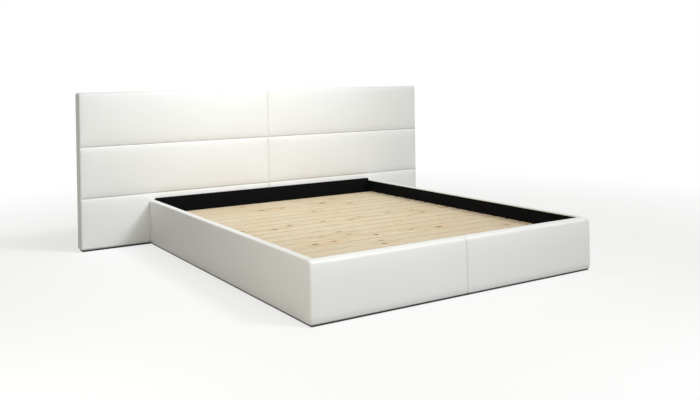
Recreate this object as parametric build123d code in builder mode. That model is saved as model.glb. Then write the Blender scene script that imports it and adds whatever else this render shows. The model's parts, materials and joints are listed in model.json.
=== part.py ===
"""Upholstered platform bed with a wide panelled headboard, for a 160 x 200 cm mattress.

The bed stands on the floor at Z = 0. X runs across the bed, -Y points to the foot and +Y to the wall
behind the headboard. The origin is in the middle of the footprint. Left is -X.
All sizes are in millimetres.
"""

import math
import os

from build123d import *

os.makedirs("parts", exist_ok=True)

# Mattress well
mattress_width = 1600.0
mattress_length = 2000.0
side_play = 10.0
foot_play = 10.0

# Boards, linings and padding of the rails
board_thickness = 18.0
lining_thickness = 1.5
side_padding = 19.5
foot_padding = 23.5
fold_thickness = 5.0
rail_crown = 5.0
top_edge_radius = 16.0
low_edge_radius = 6.0
corner_radius = 14.0
seam_radius = 7.0
seam_gap = 0.6
rest_gap = 0.3

# Heights above the floor
base_height = 9.0
rail_top = 277.0
head_board_top = 288.0
slat_top = 195.0

# Black base strips, set back under the padding
strip_inset = 12.0
strip_width = 24.0

# Headboard: two modules, side by side
headboard_width = 2550.0
headboard_height = 970.0
panel_thickness = 18.0
backing_thickness = 1.5
backing_inset = 8.0
pad_thickness = 56.0
groove_depth = 12.0
pad_roll = 26.0
pad_crown = 2.5
edge_drop = 5.0
edge_roll = 14.0
crown_inset = 110.0
crown_corner_radius = 24.0
roll_steps = 4
border_thickness = 6.0
border_corner_radius = 12.0
border_edge_radius = 4.0
low_seam_share = 0.3314
high_seam_share = 0.6567
module_gap = 0.4

# Plates let into the back of the headboard, across its joint
plate_length = 200.0
plate_width = 40.0
plate_thickness = 3.0
low_plate_height = 150.0
top_plate_inset = 120.0

# Slats, a little closer together towards the foot
slat_count = 18
slat_width = 90.0
slat_thickness = 18.0
slat_edge_radius = 2.0
slat_end_play = 5.0
slat_foot_gap = 12.0
slat_head_gap = 38.0
pitch_growth = 0.5

# Tapes stapled under the slats
tape_width = 30.0
tape_thickness = 1.2
tape_offset = 520.0

# Ledges, centre beam and its hangers
ledge_width = 30.0
ledge_height = 36.0
ledge_end_play = 2.0
beam_width = 45.0
beam_height = 70.0
beam_end_play = 3.0
beam_edge_radius = 3.0
hanger_thickness = 2.5
hanger_depth = 45.0
hanger_flange = 28.0
hanger_play = 0.5
hanger_wall_height = 60.0

# Legs under the centre beam, with screwed levelling feet
leg_spacing = 700.0
leg_diameter = 38.0
leg_wall = 2.0
leg_plate_width = 80.0
leg_plate_thickness = 3.0
leg_plate_radius = 8.0
leg_plug_height = 30.0
foot_diameter = 44.0
foot_height = 10.0
foot_edge_radius = 2.0
stem_diameter = 10.0
stem_length = 36.0
stem_play = 0.3

# Corner brackets and bolts
bracket_leaf = 45.0
bracket_height = 96.0
bracket_bottom = 30.0
bracket_thickness = 3.0
bracket_radius = 6.0
bolt_diameter = 8.0
bolt_play = 0.3
bolt_head_diameter = 14.0
bolt_head_height = 5.0
bolt_tip_depth = 1.0
bracket_bolt_spacing = 60.0
bracket_bolt_offset = 27.0
inner_headboard_bolt = 260.0
headboard_bolt_inset = 110.0
headboard_bolt_height = 95.0
washer_diameter = 24.0
washer_thickness = 2.0

# Places that follow from the sizes above
well_half = mattress_width / 2 + side_play
well_length = mattress_length + foot_play
side_board_inner = well_half + lining_thickness
side_board_outer = side_board_inner + board_thickness
bed_half = side_board_outer + side_padding
foot_rail_thickness = lining_thickness + board_thickness + foot_padding
head_rail_thickness = lining_thickness + board_thickness + rest_gap
headboard_thickness = backing_thickness + panel_thickness + pad_thickness
total_length = headboard_thickness + head_rail_thickness + well_length + foot_rail_thickness

wall_y = total_length / 2
panel_back_y = wall_y - backing_thickness
panel_face_y = panel_back_y - panel_thickness
headboard_face_y = panel_face_y - pad_thickness
head_y = headboard_face_y - rest_gap
well_head_y = headboard_face_y - head_rail_thickness
well_foot_y = well_head_y - well_length
well_centre_y = (well_head_y + well_foot_y) / 2
foot_board_inner_y = well_foot_y - lining_thickness
foot_board_outer_y = foot_board_inner_y - board_thickness
foot_y = foot_board_outer_y - foot_padding

fold_bottom = rail_top - fold_thickness
head_rail_half = well_half - rest_gap
slat_bottom = slat_top - slat_thickness
bearing_top = slat_bottom - rest_gap
beam_bottom = bearing_top - beam_height
headboard_half = headboard_width / 2
border_inner_half = headboard_half - border_thickness
low_seam_height = low_seam_share * headboard_height
high_seam_height = high_seam_share * headboard_height
plate_heights = (low_plate_height, headboard_height / 2, headboard_height - top_plate_inset)
headboard_bolt_offsets = (inner_headboard_bolt, well_half - headboard_bolt_inset)
bracket_middle = bracket_bottom + bracket_height / 2
bracket_bolt_heights = (bracket_middle - bracket_bolt_spacing / 2, bracket_middle + bracket_bolt_spacing / 2)
across_bed = Plane.XZ.offset(-well_centre_y)


def keep(piece, node):
    """Name a finished piece and write it as its own file."""
    piece.part.label = node
    export_step(piece.part, f"parts/{node}.step")


def board(low, high):
    """A plain board between its lowest and its highest corner."""
    size = [top - bottom for bottom, top in zip(low, high)]
    centre = tuple((top + bottom) / 2 for bottom, top in zip(low, high))
    with BuildPart() as plain:
        with Locations(centre):
            Box(*size)
    return plain


def mirrored(piece):
    """The same piece for the other side of the bed."""
    with BuildPart() as other:
        mirror(piece.part, about=Plane.YZ)
    return other


def drilled(piece, points, direction):
    """The same piece with a bolt hole through it at each point."""
    with BuildPart() as holed:
        add(piece.part)
        with Locations(*[Plane(origin=point, z_dir=direction) for point in points]):
            Hole(radius=bolt_diameter / 2 + bolt_play)
    return holed


def keep_pair(left, node):
    """Keep a left-hand piece and its mirror image."""
    keep(left, f"{node}_left")
    keep(mirrored(left), f"{node}_right")


# Bolt places on the left half of the bed
side_bolt_points = [
    (-side_board_inner, y, z)
    for y in (well_head_y - bracket_bolt_offset, well_foot_y + bracket_bolt_offset)
    for z in bracket_bolt_heights
]
head_corner_points = [(-well_half + bracket_bolt_offset, well_head_y, z) for z in bracket_bolt_heights]
foot_corner_points = [(-well_half + bracket_bolt_offset, well_foot_y, z) for z in bracket_bolt_heights]
headboard_bolt_points = [(-x, well_head_y, headboard_bolt_height) for x in headboard_bolt_offsets]
ACROSS = (1, 0, 0)
ALONG = (0, 1, 0)


def both_sides(points):
    """The points and their mirror images."""
    return points + [(-x, y, z) for x, y, z in points]


# Rail covers: a crowned face, a soft top edge and a strip folded over the board

def rail_cover(plane, length, outer, padding, inner):
    """Padded cover along a rail. In the plane, x runs from the padded face to the mattress, y is height."""
    face = outer + rail_crown
    back = outer + padding
    middle = (base_height + rail_top) / 2
    shoulder = rail_top - top_edge_radius
    with BuildPart() as cover:
        with BuildSketch(plane):
            with BuildLine():
                Line((back, base_height), (face + low_edge_radius, base_height))
                RadiusArc(
                    (face + low_edge_radius, base_height),
                    (face, base_height + low_edge_radius),
                    low_edge_radius,
                )
                ThreePointArc((face, base_height + low_edge_radius), (outer, middle), (face, shoulder))
                RadiusArc((face, shoulder), (face + top_edge_radius, rail_top), top_edge_radius)
                Polyline(
                    (face + top_edge_radius, rail_top),
                    (inner, rail_top),
                    (inner, fold_bottom),
                    (back, fold_bottom),
                    (back, base_height),
                )
            make_face()
        extrude(amount=length)
    return cover


# The covers of the side rails and the foot rail meet in a mitre at the rounded corner
mitre_plane = Plane(
    origin=(-bed_half, foot_y, 0),
    z_dir=(foot_rail_thickness, well_half - bed_half, 0),
)


def rounded_corner(cover):
    """The cover cut back to the rounded corner of the bed's plan."""
    with BuildPart() as rounded:
        add(cover.part)
        with BuildSketch():
            with Locations((0, (foot_y + wall_y) / 2)):
                plan = Rectangle(2 * bed_half, wall_y - foot_y)
            fillet(plan.vertices().group_by(Axis.Y)[0], corner_radius)
        extrude(amount=rail_top, mode=Mode.INTERSECT)
    return rounded


with BuildPart() as side_cover:
    straight_cover = rail_cover(
        Plane.XZ.offset(-head_y), head_y - foot_y, -bed_half, side_padding, -well_half
    )
    add(rounded_corner(straight_cover).part)
    split(bisect_by=mitre_plane, keep=Keep.BOTTOM)
keep_pair(side_cover, "side_rail_pad")

# The foot cover is sewn from two halves, which round off into a soft groove at the middle seam
with BuildPart() as foot_cover:
    half_cover = rail_cover(
        Plane.YZ.offset(-bed_half), bed_half - seam_gap / 2, foot_y, foot_padding, well_foot_y
    )
    add(rounded_corner(half_cover).part)
    split(bisect_by=mitre_plane, keep=Keep.TOP)
    seam_edges = foot_cover.edges().group_by(Axis.X)[-1]
    fillet(seam_edges.sort_by(Axis.Y)[0], seam_radius)
keep_pair(foot_cover, "foot_rail_pad")

# Boards of the bed box
side_board = board(
    (-side_board_outer, foot_board_inner_y, base_height), (-side_board_inner, head_y, fold_bottom)
)
keep_pair(drilled(side_board, side_bolt_points, ACROSS), "side_rail_board")

foot_board = board(
    (-side_board_outer, foot_board_outer_y, base_height), (side_board_outer, foot_board_inner_y, fold_bottom)
)
keep(drilled(foot_board, both_sides(foot_corner_points), ALONG), "foot_rail_board")

head_board = board(
    (-head_rail_half, well_head_y + lining_thickness, base_height), (head_rail_half, head_y, head_board_top)
)
keep(drilled(head_board, both_sides(head_corner_points + headboard_bolt_points), ALONG), "head_rail_board")

# Black linings on the inner faces of the box
side_lining = board((-side_board_inner, foot_board_inner_y, base_height), (-well_half, head_y, fold_bottom))
keep_pair(drilled(side_lining, side_bolt_points, ACROSS), "side_rail_lining")

foot_lining = board((-well_half, foot_board_inner_y, base_height), (well_half, well_foot_y, fold_bottom))
keep(drilled(foot_lining, both_sides(foot_corner_points), ALONG), "foot_rail_lining")

# The head lining has a seam in line with the joint of the headboard and is turned over the board's top
with BuildPart() as head_lining:
    add(
        board(
            (-head_rail_half, well_head_y, base_height),
            (-seam_gap / 2, head_y, head_board_top + lining_thickness),
        ).part
    )
    add(head_board.part, mode=Mode.SUBTRACT)
keep_pair(drilled(head_lining, head_corner_points + headboard_bolt_points, ALONG), "head_rail_lining")

# Black strips under the boards, set back so that a dark line shows at the floor
side_strip = board(
    (-bed_half + strip_inset, foot_y + strip_inset, 0),
    (-bed_half + strip_inset + strip_width, head_y, base_height),
)
keep_pair(side_strip, "base_strip")

foot_strip_half = bed_half - strip_inset - strip_width
foot_strip = board(
    (-foot_strip_half, foot_y + strip_inset, 0),
    (foot_strip_half, foot_y + strip_inset + strip_width, base_height),
)
keep(foot_strip, "base_strip_foot")

headboard_strip_left = board(
    (-headboard_half + strip_inset, headboard_face_y + strip_inset, 0),
    (-module_gap / 2, panel_back_y, base_height),
)
with BuildPart() as headboard_strips:
    add(headboard_strip_left.part)
    mirror(headboard_strip_left.part, about=Plane.YZ)
keep(headboard_strips, "base_strip_headboard")

# Headboard pads: a cell rolls over at its seams and rises to a shallow crown

def pad_levels():
    """Each section's distance from the panel, insets from a groove and from the border, and corner radius."""
    seam_depth = pad_thickness - groove_depth
    inner_radius = border_corner_radius - border_thickness
    levels = [(0, 0, 0, inner_radius), (seam_depth, 0, 0, inner_radius)]
    for step in range(1, roll_steps + 1):
        angle = math.pi / 2 * step / roll_steps
        depth = seam_depth + (groove_depth - pad_crown) * math.sin(angle)
        seam_inset = pad_roll * (1 - math.cos(angle))
        edge_rise = max(0, 1 - (pad_thickness - pad_crown - depth) / edge_drop)
        edge_inset = edge_roll * (1 - math.sqrt(1 - edge_rise**2))
        levels.append((depth, seam_inset, edge_inset, inner_radius + edge_inset / 2))
    levels.append((pad_thickness, crown_inset, crown_inset, crown_corner_radius))
    return levels


def headboard_pad(row, low_z, high_z):
    """A padded cell of the left half. It dives into grooves at its seams and less deep at the border."""
    with BuildPart() as pad:
        for depth, seam_inset, edge_inset, radius in pad_levels():
            left = -border_inner_half + edge_inset
            right = -seam_gap / 2 - seam_inset
            bottom = low_z + (edge_inset if row == "bottom" else seam_inset)
            top = high_z - (edge_inset if row == "top" else seam_inset)
            with BuildSketch(Plane.XZ.offset(depth - panel_face_y)):
                with Locations(((left + right) / 2, (bottom + top) / 2)):
                    RectangleRounded(right - left, top - bottom, radius)
        loft(ruled=True)
    return pad


pad_rows = {
    "bottom": (base_height + border_thickness, low_seam_height - seam_gap / 2),
    "middle": (low_seam_height + seam_gap / 2, high_seam_height - seam_gap / 2),
    "top": (high_seam_height + seam_gap / 2, headboard_height - border_thickness),
}
for row, (row_low, row_high) in pad_rows.items():
    cell = headboard_pad(row, row_low, row_high)
    if row == "bottom":
        cell = drilled(cell, headboard_bolt_points, ALONG)
    keep_pair(cell, f"headboard_pad_{row}")

# Headboard border: the boxing band round the outer edges of a module
with BuildPart() as border:
    with BuildSketch(Plane.XZ.offset(-panel_back_y)):
        with Locations((-headboard_half / 2 - module_gap / 4, (base_height + headboard_height) / 2)):
            outline = Rectangle(headboard_half - module_gap / 2, headboard_height - base_height)
        fillet(outline.vertices().group_by(Axis.X)[0], border_corner_radius)
        inner_radius = border_corner_radius - border_thickness
        with BuildSketch(mode=Mode.SUBTRACT):
            with Locations((-border_inner_half / 2, (base_height + headboard_height) / 2)):
                opening = Rectangle(
                    border_inner_half, headboard_height - base_height - 2 * border_thickness
                )
            fillet(opening.vertices().group_by(Axis.X)[0], inner_radius)
    extrude(amount=panel_thickness + pad_thickness - pad_crown - edge_drop)
    front_edges = border.faces().sort_by(Axis.Y)[0].edges()
    outer_edges = front_edges.filter_by(
        lambda edge: edge.center().X < -border_inner_half
        or edge.center().Z > headboard_height - border_thickness / 2
    )
    fillet(outer_edges, border_edge_radius)
keep_pair(border, "headboard_border")

# Headboard panels, with pockets for the joining plates
with BuildPart() as panel:
    with BuildSketch(Plane.XZ.offset(-panel_back_y)):
        panel_width = border_inner_half - module_gap / 2
        with Locations((-module_gap / 2 - panel_width / 2, (base_height + headboard_height) / 2)):
            outline = Rectangle(panel_width, headboard_height - base_height - 2 * border_thickness)
        fillet(outline.vertices().group_by(Axis.X)[0], border_corner_radius - border_thickness)
    extrude(amount=panel_thickness)
    with BuildSketch(Plane.XZ.offset(-panel_back_y)):
        with Locations(*[(0, height) for height in plate_heights]):
            Rectangle(plate_length + 2 * rest_gap, plate_width + 2 * rest_gap)
    extrude(amount=plate_thickness, mode=Mode.SUBTRACT)
keep_pair(drilled(panel, headboard_bolt_points, ALONG), "headboard_panel")

with BuildPart() as joining_plates:
    with BuildSketch(Plane.XZ.offset(-panel_back_y)):
        with Locations(*[(0, height) for height in plate_heights]):
            Rectangle(plate_length, plate_width)
    extrude(amount=plate_thickness)
keep(joining_plates, "headboard_joining_plates")

backing = board(
    (-headboard_half + backing_inset, panel_back_y, base_height + backing_inset),
    (-module_gap / 2, wall_y, headboard_height - backing_inset),
)
keep_pair(backing, "headboard_backing")

# Corner brackets: steel angles that bolt the boards of the box together, mirrored from the head left one
with BuildPart() as corner_bracket:
    with BuildSketch(Plane.XY.offset(bracket_bottom)):
        with Locations((-well_half, well_head_y)):
            Rectangle(bracket_leaf, bracket_leaf, align=(Align.MIN, Align.MAX))
        with Locations((-well_half + bracket_thickness, well_head_y - bracket_thickness)):
            Rectangle(bracket_leaf, bracket_leaf, align=(Align.MIN, Align.MAX), mode=Mode.SUBTRACT)
    extrude(amount=bracket_height)
    leaf_tips = corner_bracket.edges().filter_by(Axis.X).group_by(Axis.Y)[0]
    leaf_tips += corner_bracket.edges().filter_by(Axis.Y).group_by(Axis.X)[-1]
    fillet(leaf_tips, bracket_radius)
    with Locations(*[Plane(origin=point, z_dir=ALONG) for point in head_corner_points]):
        Hole(radius=bolt_diameter / 2 + bolt_play)
    with Locations(*[Plane(origin=point, z_dir=ACROSS) for point in side_bolt_points[:2]]):
        Hole(radius=bolt_diameter / 2 + bolt_play)

with BuildPart() as head_brackets:
    add(corner_bracket.part)
    mirror(corner_bracket.part, about=Plane.YZ)
with BuildPart() as corner_brackets:
    add(head_brackets.part)
    mirror(head_brackets.part, about=across_bed)
keep(corner_brackets, "corner_brackets")


def bolt(point, direction, seat, grip, head_diameter, head_height):
    """A bolt whose head sits `seat` in front of the point, with its shank along the direction."""
    seated = Plane(origin=point, z_dir=direction).offset(-seat)
    with BuildPart() as plain_bolt:
        with BuildSketch(seated):
            RegularPolygon(radius=head_diameter / 2, side_count=6)
        extrude(amount=-head_height)
        with BuildSketch(seated):
            Circle(bolt_diameter / 2)
        extrude(amount=grip)
    return plain_bolt


# Corner bolts: two through each leaf of each bracket
corner_grip = bracket_thickness + lining_thickness + board_thickness - bolt_tip_depth
with BuildPart() as head_left_bolts:
    for point in head_corner_points:
        add(bolt(point, ALONG, bracket_thickness, corner_grip, bolt_head_diameter, bolt_head_height).part)
    for _, y, z in side_bolt_points[:2]:
        place = (-well_half, y, z)
        away = (-1, 0, 0)
        add(bolt(place, away, bracket_thickness, corner_grip, bolt_head_diameter, bolt_head_height).part)
with BuildPart() as head_bolts:
    add(head_left_bolts.part)
    mirror(head_left_bolts.part, about=Plane.YZ)
with BuildPart() as corner_bolts:
    add(head_bolts.part)
    mirror(head_bolts.part, about=across_bed)
keep(corner_bolts, "corner_bolts")

# Headboard bolts: through the head board and the lowest pads into the panels
headboard_grip = (
    washer_thickness + head_rail_thickness + pad_thickness + panel_thickness - bolt_tip_depth
)
with BuildPart() as headboard_bolts:
    for point in both_sides(headboard_bolt_points):
        with BuildSketch(Plane(origin=point, z_dir=ALONG)):
            Circle(washer_diameter / 2)
        extrude(amount=-washer_thickness)
        add(bolt(point, ALONG, washer_thickness, headboard_grip, bolt_head_diameter, bolt_head_height).part)
keep(headboard_bolts, "headboard_bolts")

# Ledges that carry the ends of the slats
ledge = board(
    (-well_half, well_foot_y + ledge_end_play, bearing_top - ledge_height),
    (-well_half + ledge_width, well_head_y - ledge_end_play, bearing_top),
)
keep_pair(ledge, "slat_ledge")

# Centre beam, carried at its ends in steel hangers
with BuildPart() as centre_beam:
    beam_length = well_length - 2 * beam_end_play
    with Locations((0, well_centre_y, beam_bottom + beam_height / 2)):
        Box(beam_width, beam_length, beam_height)
    fillet(centre_beam.edges().filter_by(Axis.Y), beam_edge_radius)
keep(centre_beam, "centre_beam")

with BuildPart() as head_hanger:
    cradle_half = beam_width / 2 + hanger_play
    wing_half = cradle_half + hanger_thickness
    cradle_bottom = beam_bottom - hanger_thickness
    with BuildSketch(Plane.XZ.offset(-well_head_y)):
        with Locations((0, cradle_bottom)):
            Rectangle(2 * wing_half, hanger_wall_height, align=(Align.CENTER, Align.MIN))
        with Locations((0, beam_bottom)):
            Rectangle(
                2 * cradle_half, hanger_wall_height, align=(Align.CENTER, Align.MIN), mode=Mode.SUBTRACT
            )
    extrude(amount=hanger_depth)
    with BuildSketch(Plane.XZ.offset(-well_head_y)):
        for side in (-1, 1):
            with Locations((side * (wing_half + hanger_flange / 2), cradle_bottom)):
                Rectangle(hanger_flange, hanger_wall_height, align=(Align.CENTER, Align.MIN))
    extrude(amount=hanger_thickness)
with BuildPart() as beam_hangers:
    add(head_hanger.part)
    mirror(head_hanger.part, about=across_bed)
keep(beam_hangers, "beam_hangers")

# Legs under the beam: a steel tube with a welded plate and a pressed plug, and a screwed levelling foot
leg_bottom = foot_height + rest_gap
for name, y in (("head", well_centre_y + leg_spacing / 2), ("foot", well_centre_y - leg_spacing / 2)):
    with BuildPart() as support_leg:
        with BuildSketch(Plane.XY.offset(leg_bottom)):
            with Locations((0, y)):
                Circle(leg_diameter / 2)
                Circle(leg_diameter / 2 - leg_wall, mode=Mode.SUBTRACT)
        extrude(amount=beam_bottom - leg_plate_thickness - leg_bottom)
        with BuildSketch(Plane.XY.offset(leg_bottom)):
            with Locations((0, y)):
                Circle(leg_diameter / 2 - leg_wall)
                Circle(stem_diameter / 2 + stem_play, mode=Mode.SUBTRACT)
        extrude(amount=leg_plug_height)
        with BuildSketch(Plane.XY.offset(beam_bottom)):
            with Locations((0, y)):
                RectangleRounded(leg_plate_width, leg_plate_width, leg_plate_radius)
        extrude(amount=-leg_plate_thickness)
    keep(support_leg, f"support_leg_{name}")

    with BuildPart() as levelling_foot:
        with BuildSketch():
            with Locations((0, y)):
                Circle(foot_diameter / 2)
        extrude(amount=foot_height)
        fillet(levelling_foot.edges(), foot_edge_radius)
        with BuildSketch(Plane.XY.offset(foot_height)):
            with Locations((0, y)):
                Circle(stem_diameter / 2)
        extrude(amount=stem_length)
    keep(levelling_foot, f"levelling_foot_{name}")

# Slats, numbered from the foot, with a pitch that grows evenly towards the head
slat_length = 2 * (well_half - slat_end_play)
slat_y = well_foot_y + slat_foot_gap + slat_width / 2
mean_pitch = (well_length - slat_foot_gap - slat_head_gap - slat_width) / (slat_count - 1)
slat_pitch = mean_pitch - pitch_growth * (slat_count - 2) / 2
for number in range(1, slat_count + 1):
    with BuildPart() as slat:
        with Locations((0, slat_y, slat_bottom + slat_thickness / 2)):
            Box(slat_length, slat_width, slat_thickness)
        fillet(slat.edges().filter_by(Axis.X), slat_edge_radius)
    keep(slat, f"slat_{number:02d}")
    slat_y += slat_pitch
    slat_pitch += pitch_growth

# Tapes under the slats, which hold their spacing
tape_foot_y = well_foot_y + slat_foot_gap
tape_head_y = well_head_y - slat_head_gap
tape = board(
    (-tape_offset - tape_width / 2, tape_foot_y, slat_bottom - tape_thickness),
    (-tape_offset + tape_width / 2, tape_head_y, slat_bottom),
)
with BuildPart() as slat_tapes:
    add(tape.part)
    mirror(tape.part, about=Plane.YZ)
keep(slat_tapes, "slat_tapes")
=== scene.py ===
# %% [markdown]
# # A white upholstered bed, dressed around its engineering frame
# The bed is a low box of padded rails in front of a headboard that is much wider than the box. Its
# boards, slats and fittings come from the CAD model as they are. Everything soft is made here: the
# padded cells of the headboard, the covers of the rails, the black linings and the tapes.
# All lengths are in metres. X runs across the bed, -Y points to the foot and Z is up.

# %% Load the frame
import json
import math

import bmesh
import bpy
from mathutils import Matrix, Vector, noise


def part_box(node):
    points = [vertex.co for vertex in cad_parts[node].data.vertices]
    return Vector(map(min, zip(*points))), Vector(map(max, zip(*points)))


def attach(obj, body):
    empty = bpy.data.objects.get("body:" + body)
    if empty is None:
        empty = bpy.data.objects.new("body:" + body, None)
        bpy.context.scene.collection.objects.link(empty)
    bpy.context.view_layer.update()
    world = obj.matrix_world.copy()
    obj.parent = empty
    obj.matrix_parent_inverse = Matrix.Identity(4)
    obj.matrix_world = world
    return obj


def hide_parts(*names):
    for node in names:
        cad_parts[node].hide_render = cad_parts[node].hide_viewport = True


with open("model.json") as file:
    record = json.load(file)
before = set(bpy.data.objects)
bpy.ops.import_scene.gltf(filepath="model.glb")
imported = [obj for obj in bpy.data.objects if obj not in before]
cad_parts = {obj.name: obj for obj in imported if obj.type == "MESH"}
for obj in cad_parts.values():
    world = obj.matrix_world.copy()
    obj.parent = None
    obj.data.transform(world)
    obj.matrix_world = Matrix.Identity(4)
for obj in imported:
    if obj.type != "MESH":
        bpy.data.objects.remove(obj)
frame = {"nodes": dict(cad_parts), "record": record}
nodes = frame["nodes"]
scene = bpy.context.scene
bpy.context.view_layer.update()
print("CAD nodes:", len(nodes))

# %% [markdown]
# ## Camera
# The viewer stands at the foot, left of the bed, with the eye just above the headboard's top. The camera
# is almost level, so the upright edges stay upright, and the lens is shifted down to frame the bed, the
# way an architectural photographer does it.

# %% Camera
camera_data = bpy.data.cameras.new("camera")
camera_data.lens = 40.22
camera_data.shift_x = 0.0025
camera_data.shift_y = -0.162
camera = bpy.data.objects.new("camera", camera_data)
scene.collection.objects.link(camera)
pan = Matrix.Rotation(math.radians(-32.19), 4, "Z")
tilt = Matrix.Rotation(math.radians(89.57), 4, "X")
roll = Matrix.Rotation(math.radians(-0.93), 4, "Z")
camera.matrix_world = Matrix.Translation((-2.4134, -3.8809, 1.0176)) @ pan @ tilt @ roll
scene.camera = camera
print("camera lens:", camera_data.lens)

# %% [markdown]
# ## Node helpers
# Materials are networks of nodes. The first helpers feed a node's inputs, from numbers or from the outputs
# of other nodes, so that a network reads from top to bottom like a recipe. Others open a node group with
# named sockets, for effects that several materials share, and a new material.


# %% Node helpers
def feed(tree, node, inputs):
    """Give a node's inputs their values, or links from other sockets. Returns the node."""
    for socket, value in inputs.items():
        if isinstance(value, bpy.types.NodeSocket):
            tree.links.new(value, node.inputs[socket])
        else:
            node.inputs[socket].default_value = value
    return node


def add_node(tree, kind, inputs=None, **settings):
    """Add a shader node, set its properties and feed its inputs."""
    node = tree.nodes.new("ShaderNode" + kind)
    for name, value in settings.items():
        setattr(node, name, value)
    return feed(tree, node, inputs or {})


def compute(tree, operation, first, second=0.0, third=0.0):
    """Arithmetic on values or sockets. Returns the result's socket."""
    return add_node(tree, "Math", {0: first, 1: second, 2: third}, operation=operation).outputs[0]


def remap(tree, value, low, high, new_low=0.0, new_high=1.0):
    """Stretch a range of values to another one. Returns the result's socket."""
    names = ("From Min", "From Max", "To Min", "To Max")
    limits = dict(zip(names, (low, high, new_low, new_high)))
    return add_node(tree, "MapRange", {"Value": value, **limits}).outputs[0]


def mix_colors(tree, share, first, second):
    """Blend two colours. Returns the result's socket."""
    return add_node(tree, "Mix", {0: share, 6: first, 7: second}, data_type="RGBA").outputs[2]


def emboss(tree, height, distance, strength):
    """Bend the light on a surface by a height. Returns the normal's socket."""
    return add_node(tree, "Bump", {"Height": height, "Distance": distance, "Strength": strength}).outputs[0]


def open_group(name, inputs, outputs):
    """Make a node group. Inputs map a name to its kind and value, outputs map a name to its kind."""
    group = bpy.data.node_groups.new(name, "ShaderNodeTree")
    for label, (kind, value) in inputs.items():
        socket = group.interface.new_socket(label, in_out="INPUT", socket_type="NodeSocket" + kind)
        socket.default_value = value
    for label, kind in outputs.items():
        group.interface.new_socket(label, in_out="OUTPUT", socket_type="NodeSocket" + kind)
    return group, group.nodes.new("NodeGroupInput").outputs, group.nodes.new("NodeGroupOutput").inputs


def place_group(tree, group, inputs):
    """Place a node group in a material. Returns its outputs."""
    node = tree.nodes.new("ShaderNodeGroup")
    node.node_tree = group
    return feed(tree, node, inputs).outputs


def open_material(name):
    """Make a material and return it with its node tree and its main shader."""
    material = bpy.data.materials.new(name)
    material.use_nodes = True
    return material, material.node_tree, material.node_tree.nodes["Principled BSDF"]


print("helpers ready")

# %% [markdown]
# ## Stage
# A white studio. The floor is white paper. Part of what the camera sees of it is plain white, and more
# of it further away, so the backdrop stays white while the bed keeps its soft shadow. Other rays meet a
# greyer paper, so that little light comes up from below.


# %% What the lens sees
def lens_rays(tree):
    """1 for what the camera sees directly, in a reflection or through glass, and 0 for other light."""
    rays = add_node(tree, "LightPath").outputs
    direct = compute(tree, "MAXIMUM", rays["Is Camera Ray"], rays["Is Glossy Ray"])
    return compute(tree, "MAXIMUM", direct, rays["Is Transmission Ray"])


# %% Floor
floor_half = 30.0
paper_glow = 0.68
glow_starts, glow_is_full = 1.9, 4.2
corners = [(-floor_half, -floor_half, 0), (floor_half, -floor_half, 0), (floor_half, floor_half, 0)]
corners.append((-floor_half, floor_half, 0))
floor_mesh = bpy.data.meshes.new("floor")
floor_mesh.from_pydata(corners, [], [(0, 1, 2, 3)])
floor = bpy.data.objects.new("floor", floor_mesh)
scene.collection.objects.link(floor)

paper, tree, shader = open_material("studio_paper")
feed(tree, shader, {"Base Color": (0.90, 0.90, 0.90, 1), "Roughness": 0.9, "Specular IOR Level": 0.0})
glow = add_node(tree, "Emission", {"Strength": 1.0})
place = add_node(tree, "TexCoord").outputs["Object"]
distance = add_node(tree, "VectorMath", {0: place}, operation="LENGTH").outputs["Value"]
share = remap(tree, distance, glow_starts, glow_is_full, paper_glow, 1.0)
seen = add_node(tree, "MixShader", {0: share, 1: shader.outputs[0], 2: glow.outputs[0]})
unseen = add_node(tree, "BsdfDiffuse", {"Color": (0.35, 0.35, 0.35, 1)})
mixed = add_node(tree, "MixShader", {0: lens_rays(tree), 1: unseen.outputs[0], 2: seen.outputs[0]})
tree.links.new(mixed.outputs[0], tree.nodes["Material Output"].inputs["Surface"])
floor_mesh.materials.append(paper)
print("floor:", 2 * floor_half, "m square")

# %% [markdown]
# ## Light
# The fill is even, slightly warm light from all round. A distant key lamp high on the right in front
# throws the rail's slanting shadow on the headboard. A square lamp near the headboard makes it brightest
# at the top of its middle, one before the foot lights the foot rail, and a warm one the left rail.


# %% Light
world = bpy.data.worlds.new("studio")
world.use_nodes = True
scene.world = world
tree = world.node_tree
fill = tree.nodes["Background"]
feed(tree, fill, {"Color": (1.0, 0.93, 0.80, 1), "Strength": 0.32})
backdrop = add_node(tree, "Background", {"Color": (1, 1, 1, 1), "Strength": 1.0})
sky = add_node(tree, "MixShader", {0: lens_rays(tree), 1: fill.outputs[0], 2: backdrop.outputs[0]})
tree.links.new(sky.outputs[0], tree.nodes["World Output"].inputs["Surface"])


def soft_box(name, place, aim, size, watts, color):
    """A square lamp at a place, turned to what it lights."""
    lamp_data = bpy.data.lights.new(name, "AREA")
    lamp_data.shape = "SQUARE"
    lamp_data.size = size
    lamp_data.energy = watts
    lamp_data.color = color
    lamp = bpy.data.objects.new(name, lamp_data)
    lamp.location = place
    lamp.rotation_euler = (Vector(place) - Vector(aim)).to_track_quat("Z", "Y").to_euler()
    lamp.visible_camera = False
    scene.collection.objects.link(lamp)
    print("lamp:", name, watts, "W")


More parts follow.
